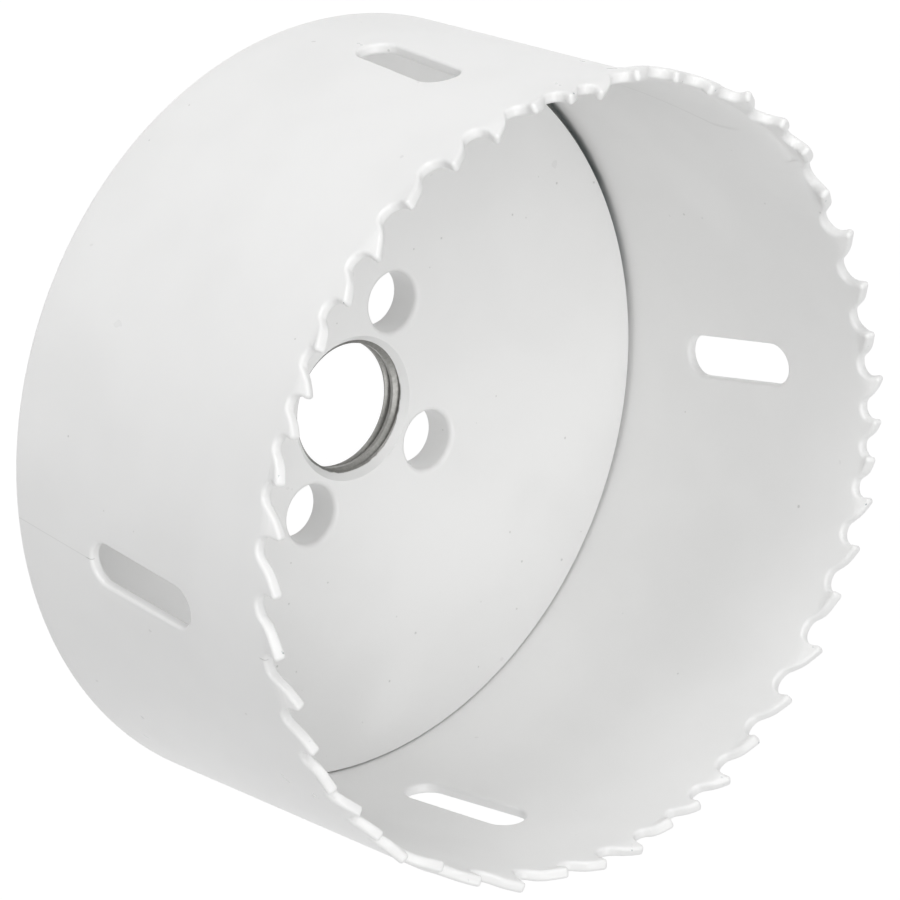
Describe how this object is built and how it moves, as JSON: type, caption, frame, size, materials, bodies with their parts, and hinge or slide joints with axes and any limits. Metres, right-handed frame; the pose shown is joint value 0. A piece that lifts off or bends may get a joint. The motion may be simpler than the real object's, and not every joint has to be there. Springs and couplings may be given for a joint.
{
  "type": "hole saw",
  "caption": "Large cup-shaped hole saw: a rolled toothed band with slanting clearing slots, welded round a thick end cap with a threaded bore and drive-pin holes.",
  "frame": {"origin": "centre of the end cap's flat back face, on the saw's axis", "axes": "+Z along the axis from the cap's back face to the teeth; +X through the middle of one clearing slot"},
  "size_m": [0.0898, 0.0898, 0.0438],
  "materials": {
    "band_enamel": "gloss white enamel over steel",
    "cap_enamel": "gloss white enamel over steel, thread left bare"
  },
  "bodies": {
    "root": {"toothed_band": "band_enamel", "end_cap": "cap_enamel"}
  },
  "joints": []
}
